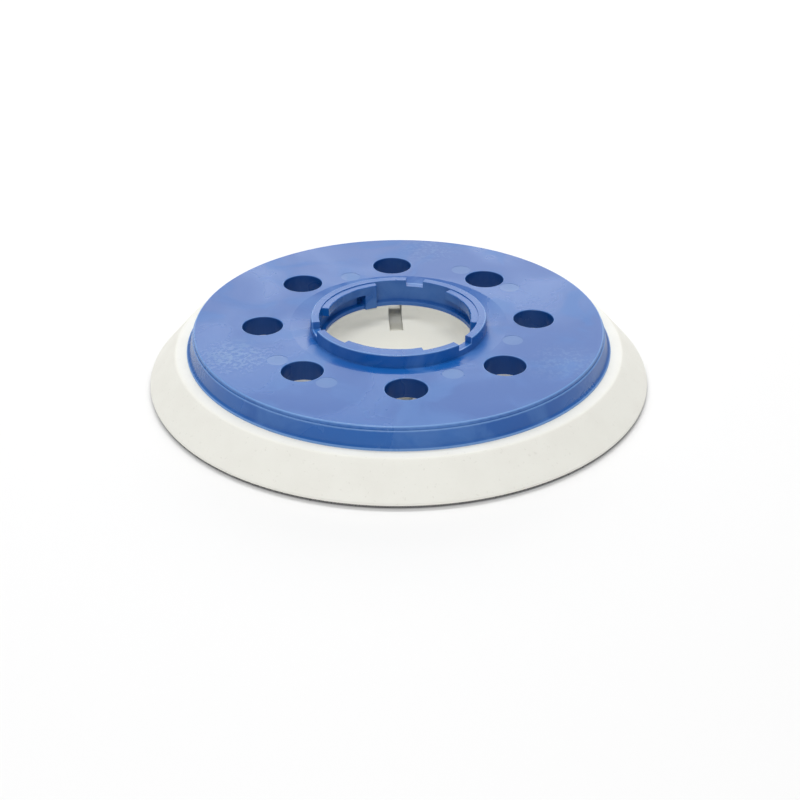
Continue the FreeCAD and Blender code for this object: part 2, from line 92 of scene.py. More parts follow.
def rounded_outline(corners: list[tuple[float, float, float]], spacing: float,
                    arc_steps: int = 6) -> np.ndarray:
    """Turn an open outline of corners into points, with each corner rounded by an arc.

    An arc of radius r starts and ends at r / tan(half the corner's inner angle) from its
    corner, and its points turn evenly about the centre. Straight runs are split evenly.

    Args:
        corners: Radius, height and rounding of each corner. The first and last aren't rounded.
        spacing: Longest step along a straight run.
        arc_steps: Steps along each arc.

    Returns:
        Radius and height of each point, in order.
    """
    spots = np.array([(x, z) for x, z, _ in corners])
    rounds = [r for _, _, r in corners]
    bends = [spots[:1]]
    for before, spot, after, r in zip(spots, spots[1:], spots[2:], rounds[1:-1]):
        a = (before - spot) / np.linalg.norm(before - spot)
        b = (after - spot) / np.linalg.norm(after - spot)
        half = math.acos(float(np.clip(a @ b, -1.0, 1.0))) / 2
        if r <= 0 or half > math.radians(89):
            bends.append(spot[None])
            continue
        middle = (a + b) / np.linalg.norm(a + b)
        centre = spot + middle * r / math.sin(half)
        first = spot + a * r / math.tan(half) - centre
        sweep = math.pi - 2 * half
        sign = math.copysign(1.0, first[0] * (-middle[1]) - first[1] * (-middle[0]))
        turn = sign * np.linspace(0.0, sweep, arc_steps + 1)
        bends.append(centre + np.stack([first[0] * np.cos(turn) - first[1] * np.sin(turn),
                                        first[0] * np.sin(turn) + first[1] * np.cos(turn)], 1))
    bends.append(spots[-1:])
    parts = [bends[0]]
    for left, right in zip(bends, bends[1:]):
        run = right[0] - left[-1]
        steps = max(1, int(np.ceil(np.linalg.norm(run) / spacing)))
        inner = left[-1] + run * (np.arange(1, steps) / steps)[:, None]
        parts += [inner, right]
    return np.concatenate([p for p in parts if len(p)])


def lathe(name: str, outline: np.ndarray, turns: int) -> bpy.types.Object:
    """Turn an outline about Z into a closed solid.

    Point (i, j) lies at the outline's radius i and height i, at the angle j of a full turn.
    The outline starts and ends on the axis, where each end is one point with a fan of faces.

    Args:
        name: The piece's name.
        outline: Radius and height, from the axis at the bottom, outwards, to the axis on top.
        turns: Steps round the axis.

    Returns:
        The linked object, its faces pointing outwards.
    """
    angle = np.arange(turns) * 2 * math.pi / turns
    ring = outline[1:-1]
    body = np.stack([ring[:, :1] * np.cos(angle), ring[:, :1] * np.sin(angle),
                     np.repeat(ring[:, 1:], turns, axis=1)], -1).reshape(-1, 3)
    ends = np.array([[0.0, 0.0, outline[0, 1]], [0.0, 0.0, outline[-1, 1]]])
    here = np.arange(len(ring) * turns).reshape(len(ring), turns)
    beside = np.roll(here, -1, axis=1)
    quads = np.stack([here[:-1], beside[:-1], beside[1:], here[1:]], -1).reshape(-1, 4)
    low, high = len(body), len(body) + 1
    fans = [[low, b, a] for a, b in zip(here[0].tolist(), beside[0].tolist())]
    fans += [[high, a, b] for a, b in zip(here[-1].tolist(), beside[-1].tolist())]
    return new_piece(name, np.concatenate([body, ends]), quads.tolist() + fans)


def cut(piece: bpy.types.Object, cutters: list[bpy.types.Object]) -> None:
    """Take closed cutters out of a closed piece, apply the cuts and remove the cutters.

    Args:
        piece: The piece to cut.
        cutters: The shapes to take out of it.
    """
    for cutter in cutters:
        step = piece.modifiers.new("cut", "BOOLEAN")
        step.operation = "DIFFERENCE"
        step.solver = "EXACT"
        step.object = cutter
    apply_modifiers(piece)
    for cutter in cutters:
        bpy.data.objects.remove(cutter)


def apply_modifiers(piece: bpy.types.Object) -> None:
    """Bake a piece's modifiers into its mesh.

    Args:
        piece: The piece, whose modifiers are then removed.
    """
    graph = bpy.context.evaluated_depsgraph_get()
    finished = bpy.data.meshes.new_from_object(piece.evaluated_get(graph))
    piece.modifiers.clear()
    piece.data = finished
    finished.name = piece.name


def smooth_by_angle(piece: bpy.types.Object, degrees: float) -> None:
    """Shade a piece smoothly, with edges sharper than an angle kept sharp.

    Args:
        piece: The piece.
        degrees: The angle.
    """
    mesh = piece.data
    mesh.polygons.foreach_set("use_smooth", np.ones(len(mesh.polygons), bool))
    mesh.set_sharp_from_angle(angle=math.radians(degrees))


def finish_piece(piece: bpy.types.Object, slot: Slot, *nodes: str) -> None:
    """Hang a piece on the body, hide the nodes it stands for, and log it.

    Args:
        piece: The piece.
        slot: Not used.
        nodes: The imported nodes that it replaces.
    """
    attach(piece, BODY)
    if nodes:
        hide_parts(*nodes)
    log.info("%s: %d faces", piece.name, len(piece.data.polygons))


# ---------------------------------------------------------------- shader node helpers
class Nodes:
    """A node tree with short ways to add nodes and link them."""

    def __init__(self, tree: bpy.types.NodeTree) -> None:
        """Work on a tree, emptied of what it held.

        Args:
            tree: The tree.
        """
        self.tree = tree
        tree.nodes.clear()

    def add(self, kind: str, inputs: dict | None = None, **settings) -> bpy.types.Node:
        """Add a node.

        Args:
            kind: The node's type.
            inputs: For each input, by name or number, a value or a socket to link.
            settings: The node's own properties.

        Returns:
            The node.
        """
        node = self.tree.nodes.new(kind)
        for name, value in settings.items():
            setattr(node, name, value)
        for key, value in (inputs or {}).items():
            if isinstance(value, bpy.types.NodeSocket):
                self.tree.links.new(value, node.inputs[key])
            else:
                node.inputs[key].default_value = value
        return node

    def math(self, operation: str, *values) -> bpy.types.NodeSocket:
        """Work one Math node.

        Args:
            operation: The node's operation.
            values: Its inputs in order, each a number or a socket.

        Returns:
            The result.
        """
        node = self.add("ShaderNodeMath", dict(enumerate(values)), operation=operation)
        return node.outputs[0]

    def noise(self, vector, scale: float, detail: float = 3.0,
              distortion: float = 0.0) -> bpy.types.NodeSocket:
        """Add a fractal noise.

        Args:
            vector: The place it reads.
            scale: Its scale, per metre.
            detail: Its octaves.
            distortion: How far it is bent.

        Returns:
            The noise's value, from 0 to 1.
        """
        inputs = {"Vector": vector, "Scale": scale, "Detail": detail, "Distortion": distortion}
        return self.add("ShaderNodeTexNoise", inputs).outputs["Fac"]

    def ramp(self, value, low: float, high: float, to_low: float = 0.0,
             to_high: float = 1.0) -> bpy.types.NodeSocket:
        """Take a value smoothly from one range to another, and hold it at the ends.

        Args:
            value: The value.
            low: Start of its range.
            high: End of its range.
            to_low: What the start becomes.
            to_high: What the end becomes.

        Returns:
            The new value.
        """
        inputs = {"Value": value, "From Min": low, "From Max": high,
                  "To Min": to_low, "To Max": to_high}
        node = self.add("ShaderNodeMapRange", inputs, interpolation_type="SMOOTHSTEP")
        return node.outputs["Result"]

    def mix(self, share, first, second) -> bpy.types.NodeSocket:
        """Mix two colours.

        Args:
            share: The second colour's share.
            first: The first colour or socket.
            second: The second colour or socket.

        Returns:
            The mixed colour.
        """
        node = self.add("ShaderNodeMix", {"Factor": share}, data_type="RGBA")
        for socket, value in ((node.inputs[6], first), (node.inputs[7], second)):
            if isinstance(value, bpy.types.NodeSocket):
                self.tree.links.new(value, socket)
            else:
                socket.default_value = value
        return node.outputs[2]


def new_group(name: str, inputs: dict[str, float | None],
              outputs: tuple[str, ...]) -> tuple[Nodes, bpy.types.Node, bpy.types.Node]:
    """Start a shader node group with named sockets.

    Args:
        name: The group's name.
        inputs: Name and first value of each number input. A value of None makes a vector.
        outputs: Name of each output, all numbers.

    Returns:
        The group's nodes, its input node and its output node.
    """
    tree = bpy.data.node_groups.new(name, "ShaderNodeTree")
    for label, value in inputs.items():
        kind = "NodeSocketVector" if value is None else "NodeSocketFloat"
        socket = tree.interface.new_socket(label, in_out="INPUT", socket_type=kind)
        if value is not None:
            socket.default_value = value
    for label in outputs:
        tree.interface.new_socket(label, in_out="OUTPUT", socket_type="NodeSocketFloat")
    nodes = Nodes(tree)
    return nodes, nodes.add("NodeGroupInput"), nodes.add("NodeGroupOutput")


def build_grain_group() -> bpy.types.NodeTree:
    """Fine grain: two octaves of noise, the finer one three times the scale."""
    nodes, start, end = new_group("fine_grain", {"Vector": None, "Scale": 1500.0}, ("Height",))
    coarse = nodes.noise(start.outputs["Vector"], 1.0, detail=2.0)
    nodes.tree.links.new(start.outputs["Scale"], coarse.node.inputs["Scale"])
    finer = nodes.math("MULTIPLY", start.outputs["Scale"], 3.0)
    fine = nodes.noise(start.outputs["Vector"], 1.0, detail=2.0)
    nodes.tree.links.new(finer, fine.node.inputs["Scale"])
    total = nodes.math("MULTIPLY_ADD", fine, 0.4, coarse)
    nodes.tree.links.new(total, end.inputs["Height"])
    return nodes.tree


def build_round_mask_group() -> bpy.types.NodeTree:
    """Round mask: 1 inside a circle in the XY plane, 0 outside, smooth over its soft edge."""
    inputs = {"Vector": None, "Centre": None, "Radius": 0.003, "Softness": 0.0002}
    nodes, start, end = new_group("round_mask", inputs, ("Mask",))
    offset = nodes.add("ShaderNodeVectorMath", {0: start.outputs["Vector"],
                                                1: start.outputs["Centre"]},
                       operation="SUBTRACT").outputs[0]
    flat = nodes.add("ShaderNodeVectorMath", {0: offset, 1: (1.0, 1.0, 0.0)},
                     operation="MULTIPLY").outputs[0]
    away = nodes.add("ShaderNodeVectorMath", {0: flat}, operation="LENGTH").outputs["Value"]
    inner = nodes.math("SUBTRACT", start.outputs["Radius"], start.outputs["Softness"])
    outer = nodes.math("ADD", start.outputs["Radius"], start.outputs["Softness"])
    mask = nodes.ramp(away, 0.0, 1.0, 1.0, 0.0)
    nodes.tree.links.new(inner, mask.node.inputs["From Min"])
    nodes.tree.links.new(outer, mask.node.inputs["From Max"])
    nodes.tree.links.new(mask, end.inputs["Mask"])
    return nodes.tree


def build_flow_group() -> bpy.types.NodeTree:
    """Flow marks: noise whose place is pushed about by a slower noise, cut to thin streaks."""
    inputs = {"Vector": None, "Scale": 60.0, "Warp": 0.02}
    nodes, start, end = new_group("flow_marks", inputs, ("Mask",))
    slow = nodes.add("ShaderNodeTexNoise", {"Vector": start.outputs["Vector"], "Scale": 28.0,
                                            "Detail": 2.0}).outputs["Color"]
    centred = nodes.add("ShaderNodeVectorMath", {0: slow, 1: (0.5, 0.5, 0.5)},
                        operation="SUBTRACT").outputs[0]
    push = nodes.add("ShaderNodeVectorMath", {0: centred}, operation="SCALE")
    nodes.tree.links.new(start.outputs["Warp"], push.inputs["Scale"])
    place = nodes.add("ShaderNodeVectorMath", {0: start.outputs["Vector"],
                                               1: push.outputs[0]}, operation="ADD").outputs[0]
    streak = nodes.noise(place, 1.0, detail=5.0, distortion=0.6)
    nodes.tree.links.new(start.outputs["Scale"], streak.node.inputs["Scale"])
    mask = nodes.ramp(streak, 0.46, 0.66)
    nodes.tree.links.new(mask, end.inputs["Mask"])
    return nodes.tree


def build_weave_group() -> bpy.types.NodeTree:
    """Plain weave: two crossed sets of threads, each a sine of its place."""
    nodes, start, end = new_group("plain_weave", {"Vector": None, "Pitch": 0.0006}, ("Height",))
    apart = nodes.add("ShaderNodeSeparateXYZ", {"Vector": start.outputs["Vector"]})
    turn = nodes.math("DIVIDE", 2 * math.pi, start.outputs["Pitch"])
    warp = nodes.math("SINE", nodes.math("MULTIPLY", apart.outputs["X"], turn))
    weft = nodes.math("SINE", nodes.math("MULTIPLY", apart.outputs["Y"], turn))
    height = nodes.math("MULTIPLY_ADD", nodes.math("MULTIPLY", warp, weft), 0.5, 0.5)
    nodes.tree.links.new(height, end.inputs["Height"])
    return nodes.tree


class Effects:
    """The shared node groups, each built once."""

    def __init__(self) -> None:
        """Build every group."""
        self.grain = build_grain_group()
        self.round_mask = build_round_mask_group()
        self.flow = build_flow_group()
        self.weave = build_weave_group()


def start_material(name: str) -> tuple[bpy.types.Material, Nodes, bpy.types.Node,
                                       bpy.types.NodeSocket]:
    """Start a material with a Principled shader.

    Args:
        name: The material's name.

    Returns:
        The material, its nodes, its shader and the Object coordinates.
    """
    material = bpy.data.materials.new(name)
    material.use_nodes = True
    nodes = Nodes(material.node_tree)
    shader = nodes.add("ShaderNodeBsdfPrincipled")
    nodes.add("ShaderNodeOutputMaterial", {"Surface": shader.outputs["BSDF"]})
    place = nodes.add("ShaderNodeTexCoord").outputs["Object"]
    return material, nodes, shader, place


def dress(piece: bpy.types.Object, material: bpy.types.Material) -> None:
    """Give a piece one material, on its object's slot so that a node's mesh stays as it is.

    Args:
        piece: The piece.
        material: Its material.
    """
    if not piece.data.materials:
        piece.data.materials.append(material)
    for slot in piece.material_slots:
        slot.link = "OBJECT"
        slot.material = material


# ---------------------------------------------------------------- moulded plate
@dataclass(frozen=True)
class NylonFinish:
    """Blue glass-filled nylon: a satin skin with flow marks and a fine grain, plus a painted
    highlight on its edges and painted shade on its port walls.
    """

    colour: Colour = (0.005, 0.108, 0.41, 1.0)
    pale: Colour = (0.070, 0.195, 0.50, 1.0)
    deep: Colour = (0.002, 0.072, 0.33, 1.0)
    # Painted highlight: a pale colour put along the rounded edges of the rim, flange, collar and
    # ports.
    painted_highlight_colour: Colour = (0.17, 0.34, 0.68, 1.0)
    # Painted shade: a dark colour put on the port walls, where less light reaches.
    painted_wall_shade_colour: Colour = (0.001, 0.045, 0.22, 1.0)
    mark_colour: Colour = (0.18, 0.30, 0.53, 1.0)
    deep_share: float = 0.50
    pale_share: float = 0.55
    mark_share: float = 0.38
    scuff_share: float = 0.75
    # Share of the painted highlight on the edges.
    painted_highlight_share: float = 0.85
    # Share of the painted shade on the port walls.
    painted_wall_shade_share: float = 0.8
    roughness: float = 0.24
    flow_roughness: float = 0.14
    cloud_roughness: float = 0.10
    mark_roughness: float = 0.06
    scuff_roughness: float = 0.20
    refraction: float = 1.53
    cloud_scale: float = 24.0
    speck_scale: float = 900.0
    grain_scale: float = 1400.0
    grain_depth: float = 0.01 * MM
    flow_height: float = 0.5
    scuff_height: float = 2.0
    bump_strength: float = 0.6


@dataclass
class MouldedPlate:
    """The blue plate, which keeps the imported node's own shape."""

    node: str = "backing_plate"
    finish: NylonFinish = field(default_factory=NylonFinish)
    port_count: int = 8
    port_circle: float = 40.7 * MM
    mark_radius: float = 3.0 * MM
    between_circle: float = 35.5 * MM
    beside_circle: float = 42.1 * MM
    beside_angle: float = 13.5
    edge_softness: float = 0.08 * MM
    # Rings about the axis, inner and outer radius, that get the painted highlight: the rim's top
    # edge, its step, the flange and the collar's top edge.
    edges: tuple[tuple[float, float], ...] = (
        (60.75 * MM, 61.15 * MM), (61.30 * MM, 61.60 * MM), (63.20 * MM, 63.60 * MM),
        (25.85 * MM, 26.15 * MM))
    # Ring round each port that gets a fainter painted highlight.
    port_painted_highlight: tuple[float, float] = (6.12 * MM, 6.35 * MM)
    # Ring round each port's axis where the port wall gets painted shade.
    port_wall_painted_shade: tuple[float, float] = (5.0 * MM, 6.05 * MM)
    port_painted_highlight_share: float = 0.6
    patches: tuple[tuple[tuple[float, float, float], float, float, float], ...] = (
        ((-48.0 * MM, -19.0 * MM, 0.0), 8.0 * MM, 6.0 * MM, 1.0),
        ((13.0 * MM, 52.0 * MM, 0.0), 8.0 * MM, 6.0 * MM, 0.5),
        ((46.0 * MM, -28.0 * MM, 0.0), 8.0 * MM, 7.0 * MM, 0.5))

    def mark_centres(self) -> list[tuple[float, float, float]]:
        """Centres of the ejector marks: three between ports, and two beside each of two."""
        half_step = 180.0 / self.port_count
        spots = [(self.between_circle, angle + half_step) for angle in (90, -90, -45)]
        spots += [(self.beside_circle, port + side * self.beside_angle)
                  for port in (45, -135) for side in (-1, 1)]
        return [(r * math.cos(math.radians(a)), r * math.sin(math.radians(a)), 0.0)
                for r, a in spots]

    def mark_mask(self, nodes: Nodes, place: bpy.types.NodeSocket,
                  effects: Effects) -> bpy.types.NodeSocket:
        """Mask every ejector mark, with the largest of one round mask for each.

        Args:
            nodes: The material's nodes.
            place: The Object coordinates.
            effects: The shared groups.

        Returns:
            The mask.
        """
        mask = None
        for centre in self.mark_centres():
            spot = nodes.add("ShaderNodeGroup", node_tree=effects.round_mask)
            nodes.tree.links.new(place, spot.inputs["Vector"])
            spot.inputs["Centre"].default_value = centre
            spot.inputs["Radius"].default_value = self.mark_radius
            value = spot.outputs["Mask"]
            mask = value if mask is None else nodes.math("MAXIMUM", mask, value)
        return mask

    def ring_mask(self, nodes: Nodes, place: bpy.types.NodeSocket, effects: Effects,
                  centre: tuple[float, float, float],
                  ring: tuple[float, float]) -> bpy.types.NodeSocket:
        """Mask one ring, as its outer round mask less its inner one.

        Args:
            nodes: The material's nodes.
            place: The Object coordinates.
            effects: The shared groups.
            centre: The ring's centre.
            ring: Its inner and outer radius.

        Returns:
            The mask.
        """
        inner, outer = (nodes.add("ShaderNodeGroup",
                                  {"Vector": place, "Centre": centre, "Radius": radius,
                                   "Softness": self.edge_softness},
                                  node_tree=effects.round_mask).outputs["Mask"]
                        for radius in ring)
        return nodes.math("SUBTRACT", outer, inner)

    def painted_highlight_mask(self, nodes: Nodes, place: bpy.types.NodeSocket,
                  effects: Effects) -> bpy.types.NodeSocket:
        """Mask the painted highlight along the edges of the rim, the flange, the collar and,
        fainter, the ports.

        Args:
            nodes: The material's nodes.
            place: The Object coordinates.
            effects: The shared groups.

        Returns:
            The mask.
        """
        ports = self.port_mask(nodes, place, effects, self.port_painted_highlight)
        mask = nodes.math("MULTIPLY", ports, self.port_painted_highlight_share)
        for ring in self.edges:
            value = self.ring_mask(nodes, place, effects, (0.0, 0.0, 0.0), ring)
            mask = nodes.math("MAXIMUM", mask, value)
        return mask

    def port_mask(self, nodes: Nodes, place: bpy.types.NodeSocket, effects: Effects,
                  ring: tuple[float, float]) -> bpy.types.NodeSocket:
        """Mask the same ring at every port.

        Args:
            nodes: The material's nodes.
            place: The Object coordinates.
            effects: The shared groups.
            ring: The ring's inner and outer radius.

        Returns:
            The mask.
        """
        mask = None
        for k in range(self.port_count):
            angle = 2 * math.pi * k / self.port_count
            centre = (self.port_circle * math.cos(angle), self.port_circle * math.sin(angle), 0.0)
            value = self.ring_mask(nodes, place, effects, centre, ring)
            mask = value if mask is None else nodes.math("MAXIMUM", mask, value)
        return mask

    def scuff_mask(self, nodes: Nodes, place: bpy.types.NodeSocket,
                   effects: Effects) -> bpy.types.NodeSocket:
        """Mask rough specks, strongest in a worn patch beside a port.

        Args:
            nodes: The material's nodes.
            place: The Object coordinates.
            effects: The shared groups.

        Returns:
            The mask.
        """
        specks = nodes.ramp(nodes.noise(place, self.finish.speck_scale, detail=4.0), 0.46, 0.60)
        area = None
        for centre, radius, softness, strength in self.patches:
            spot = nodes.add("ShaderNodeGroup", node_tree=effects.round_mask)
            nodes.tree.links.new(place, spot.inputs["Vector"])
            spot.inputs["Centre"].default_value = centre
            spot.inputs["Radius"].default_value = radius
            spot.inputs["Softness"].default_value = softness
            value = nodes.math("MULTIPLY", spot.outputs["Mask"], strength)
            area = value if area is None else nodes.math("MAXIMUM", area, value)
        return nodes.math("MULTIPLY", specks, area)

    def material(self, effects: Effects) -> bpy.types.Material:
        """Make the plate's material: flow marks, ejector marks, scuffs, a painted highlight on
        the edges, painted shade on the port walls, and grain.

        Args:
            effects: The shared groups.

        Returns:
            The material.
        """
        finish = self.finish
        material, nodes, shader, place = start_material("blue_nylon")
        flow = nodes.add("ShaderNodeGroup", {"Vector": place}, node_tree=effects.flow)
        streaks = flow.outputs["Mask"]
        clouds = nodes.ramp(nodes.noise(place, finish.cloud_scale, detail=4.0, distortion=0.8),
                            0.38, 0.62)
        marks = self.mark_mask(nodes, place, effects)
        scuffs = self.scuff_mask(nodes, place, effects)
        colour = finish.colour
        # The port-wall layer is painted shade and the edge layer is a painted highlight; the
        # other layers are the nylon's own tones and wear.
        layers = ((clouds, finish.deep_share, finish.deep),
                  (streaks, finish.pale_share, finish.pale),
                  (marks, finish.mark_share, finish.mark_colour),
                  (self.port_mask(nodes, place, effects, self.port_wall_painted_shade), finish.painted_wall_shade_share,
                   finish.painted_wall_shade_colour),
                  (self.painted_highlight_mask(nodes, place, effects), finish.painted_highlight_share,
                   finish.painted_highlight_colour),
                  (scuffs, finish.scuff_share, finish.mark_colour))
        for mask, share, tone in layers:
            colour = nodes.mix(nodes.math("MULTIPLY", mask, share), colour, tone)
        rough = finish.roughness
        for mask, amount in ((streaks, finish.flow_roughness), (clouds, finish.cloud_roughness),
                             (marks, finish.mark_roughness), (scuffs, finish.scuff_roughness)):
            rough = nodes.math("MULTIPLY_ADD", mask, amount, rough)
        grain = nodes.add("ShaderNodeGroup", {"Vector": place, "Scale": finish.grain_scale},
                          node_tree=effects.grain)
        height = nodes.math("MULTIPLY_ADD", streaks, finish.flow_height, grain.outputs["Height"])
        height = nodes.math("MULTIPLY_ADD", scuffs, finish.scuff_height, height)
        bump = nodes.add("ShaderNodeBump", {"Height": height, "Distance": finish.grain_depth,
                                            "Strength": finish.bump_strength})
        nodes.tree.links.new(colour, shader.inputs["Base Color"])
        nodes.tree.links.new(rough, shader.inputs["Roughness"])
        nodes.tree.links.new(bump.outputs[0], shader.inputs["Normal"])
        shader.inputs["IOR"].default_value = finish.refraction
        return material

    def build(self, effects: Effects) -> None:
        """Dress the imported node."""
        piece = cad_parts[self.node]
        dress(piece, self.material(effects))
        log.info("%s: dressed", piece.name)


# ---------------------------------------------------------------- foam cushion
@dataclass(frozen=True)
class FoamFinish:
    """Off-white polyurethane foam: a matt skin with fine pores and a faint mottle, plus painted
    shade in the well.
    """

    colour: Colour = (0.87, 0.865, 0.805, 1.0)
    shade: Colour = (0.83, 0.82, 0.76, 1.0)
    pore: Colour = (0.68, 0.67, 0.61, 1.0)
    # Painted shade: a darker, warmer colour for the foam inside the well, where less light
    # reaches.
    well: Colour = (0.70, 0.69, 0.61, 1.0)
    shade_share: float = 0.5
    pore_share: float = 0.35
    painted_well_shade_share: float = 0.9
    roughness: float = 0.62
    mottle_roughness: float = 0.12
    specular: float = 0.35
    mottle_scale: float = 120.0
    pore_scale: float = 1100.0
    pore_height: float = -0.8
    skin_depth: float = 0.04 * MM
    bump_strength: float = 0.5


@dataclass
class FoamPad:
    """The foam cushion, a lathe shape with its ports and channels cut through it."""

    node: str = "foam_pad"
    finish: FoamFinish = field(default_factory=FoamFinish)
    edge_height: float = 0.8 * MM
    edge_rounding: float = 0.35 * MM
    shoulder_rounding: float = 0.7 * MM
    land_width: float = 3.5 * MM
    land_rounding: float = 1.2 * MM
    skirt_thickness: float = 3.2 * MM
    hub_inside: float = 25.0 * MM
    hub_outside: float = 27.8 * MM
    hidden_rise: float = 2.7 * MM
    lip_height: float = 0.88 * MM
    lip_rounding: float = 0.25 * MM
    hidden_gap: float = 0.02 * MM
    mouth_radius: float = 22.0 * MM
    well_softness: float = 1.5 * MM
    foot_radius: float = 21.5 * MM
    well_depth: float = 2.6 * MM
    well_rounding: float = 2.2 * MM
    dome_rise: float = 0.5 * MM
    port_count: int = 8
    port_circle: float = 40.7 * MM
    port_radius: float = 5.5 * MM
    tube_radius: float = 7.5 * MM
    channel_count: int = 2
    channel_start: float = 11.3 * MM
    channel_width: float = 4.2 * MM
    channel_depth: float = 5.4 * MM
    ripple: float = 0.05 * MM
    turns: int = 288
    spacing: float = 1.4 * MM
    sharp_angle: float = 40.0

    def outline(self) -> np.ndarray:
        """Radius and height of the cushion, from the axis below to the axis in the well."""
        low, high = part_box(self.node)
        plate_low, plate_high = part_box("backing_plate")
        base, edge, foot = low.z, high.x, plate_low.z
        skirt = plate_high.x
        inside = skirt - self.skirt_thickness
        floor = foot - self.well_depth
        gap = self.hidden_gap
        return rounded_outline([
            (0.0, base, 0.0),
            (edge, base, self.edge_rounding),
            (edge, base + self.edge_height, self.shoulder_rounding),
            (skirt + self.land_width, foot, self.land_rounding),
            (inside, foot, 0.0),
            (inside, foot + self.hidden_rise, 0.0),
            (self.hub_outside, foot + self.hidden_rise, 0.0),
            (self.hub_outside, foot - gap, 0.0),
            (self.hub_inside - gap, foot - gap, 0.0),
            (self.hub_inside - gap, foot + self.lip_height, 0.0),
            (self.mouth_radius, foot + self.lip_height, self.lip_rounding),
            (self.foot_radius, floor, self.well_rounding),
            (0.0, floor, 0.0),
        ], self.spacing)

    def soften(self, piece: bpy.types.Object) -> None:
        """Give the moulded shape its slight unevenness.

        The radius gains a sum of slow sines of the angle, and the well's floor rises towards
        its middle as the square of one minus the radius over the floor's own.
        """
        points = np.empty(len(piece.data.vertices) * 3)
        piece.data.vertices.foreach_get("co", points)
        points = points.reshape(-1, 3)
        radius = np.hypot(points[:, 0], points[:, 1])
        angle = np.arctan2(points[:, 1], points[:, 0])
        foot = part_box("backing_plate")[0].z
        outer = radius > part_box("backing_plate")[1].x + self.land_width / 2
        wave = (np.sin(3 * angle + 0.6) + 0.6 * np.sin(7 * angle + 2.1)
                + 0.4 * np.sin(13 * angle + 4.0)) / 2
        push = 1 - outer * self.ripple * (1 + wave) / 2 / np.maximum(radius, self.ripple)
        points[:, :2] *= push[:, None]
        floor = foot - self.well_depth
        in_well = (radius < self.foot_radius) & (points[:, 2] > floor - MM)
        share = np.clip(1 - radius / (self.foot_radius - self.well_rounding), 0, 1)
        points[:, 2] += in_well * self.dome_rise * share ** 2 * (3 - 2 * share)
        piece.data.vertices.foreach_set("co", points.ravel())
        piece.data.update()

    def port_cutters(self) -> list[bpy.types.Object]:
        """A stepped plug for each port: the foam's own port, and the plate's tube above."""
        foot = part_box("backing_plate")[0].z
        outline = np.array([(0.0, -MM), (self.port_radius, -MM), (self.port_radius, foot),
                            (self.tube_radius, foot), (self.tube_radius, foot + 4 * MM),
                            (0.0, foot + 4 * MM)])
        cutters = []
        for k in range(self.port_count):
            angle = 2 * math.pi * k / self.port_count
            plug = lathe(f"port_cutter_{k}", outline, 64)
            plug.data.transform(Matrix.Translation((self.port_circle * math.cos(angle),
                                                    self.port_circle * math.sin(angle), 0.0)))
            cutters.append(plug)
        return cutters

    def channel_cutters(self) -> list[bpy.types.Object]:
        """A bar for each air channel, through the lip, from the well's floor out to a port."""
        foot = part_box("backing_plate")[0].z
        low, top = foot - self.channel_depth, foot + MM
        half = self.channel_width / 2
        sides = np.array([(x, y, z) for x in (self.channel_start, self.port_circle)
                          for y in (-half, half) for z in (low, top)])
        faces = [[0, 1, 3, 2], [4, 6, 7, 5], [0, 4, 5, 1], [2, 3, 7, 6], [0, 2, 6, 4],
                 [1, 5, 7, 3]]
        cutters = []
        for k in range(self.channel_count):
            bar = new_piece(f"channel_cutter_{k}", sides, faces)
            turn = math.pi / 2 + 2 * math.pi * k / self.channel_count
            bar.data.transform(Matrix.Rotation(turn, 4, "Z"))
            cutters.append(bar)
        return cutters

    def material(self, effects: Effects) -> bpy.types.Material:
        """Make the foam's material: a faint mottle, pores, painted shade in the well and an
        uneven skin.

        Args:
            effects: The shared groups.

        Returns:
            The material.
        """
        finish = self.finish
        material, nodes, shader, place = start_material("white_foam")
        mottle = nodes.ramp(nodes.noise(place, finish.mottle_scale, detail=4.0), 0.35, 0.70)
        pores = nodes.ramp(nodes.noise(place, finish.pore_scale, detail=2.0), 0.64, 0.74)
        colour = nodes.mix(nodes.math("MULTIPLY", mottle, finish.shade_share),
                           finish.colour, finish.shade)
        colour = nodes.mix(nodes.math("MULTIPLY", pores, finish.pore_share), colour,
                           finish.pore)
        # Painted shade in the well: inside the round mask the foam is darkened and warmed.
        well = nodes.add("ShaderNodeGroup", {"Vector": place, "Radius": self.mouth_radius,
                                             "Softness": self.well_softness},
                         node_tree=effects.round_mask).outputs["Mask"]
        colour = nodes.mix(nodes.math("MULTIPLY", well, finish.painted_well_shade_share), colour,
                           finish.well)
        grain = nodes.add("ShaderNodeGroup", {"Vector": place, "Scale": finish.pore_scale},
                          node_tree=effects.grain)
        height = nodes.math("MULTIPLY_ADD", pores, finish.pore_height, grain.outputs["Height"])
        bump = nodes.add("ShaderNodeBump", {"Height": height, "Distance": finish.skin_depth,
                                            "Strength": finish.bump_strength})
        rough = nodes.math("MULTIPLY_ADD", mottle, finish.mottle_roughness, finish.roughness)
        nodes.tree.links.new(colour, shader.inputs["Base Color"])
        nodes.tree.links.new(rough, shader.inputs["Roughness"])
        nodes.tree.links.new(bump.outputs[0], shader.inputs["Normal"])
        shader.inputs["Specular IOR Level"].default_value = finish.specular
        return material

    def build(self, effects: Effects) -> None:
        """Turn the cushion, soften it, cut its ports and channels, and dress it."""
        piece = lathe("foam_cushion", self.outline(), self.turns)
        self.soften(piece)
        cut(piece, self.channel_cutters() + self.port_cutters())
        smooth_by_angle(piece, self.sharp_angle)
        dress(piece, self.material(effects))
        finish_piece(piece, Slot.FOAM, self.node)


# ---------------------------------------------------------------- hook tape
@dataclass(frozen=True)
class NylonYarnFinish:
    """Dark nylon yarn, woven or standing."""

    colour: Colour = (0.035, 0.035, 0.038, 1.0)
    light: Colour = (0.30, 0.30, 0.30, 1.0)
    roughness: float = 0.45


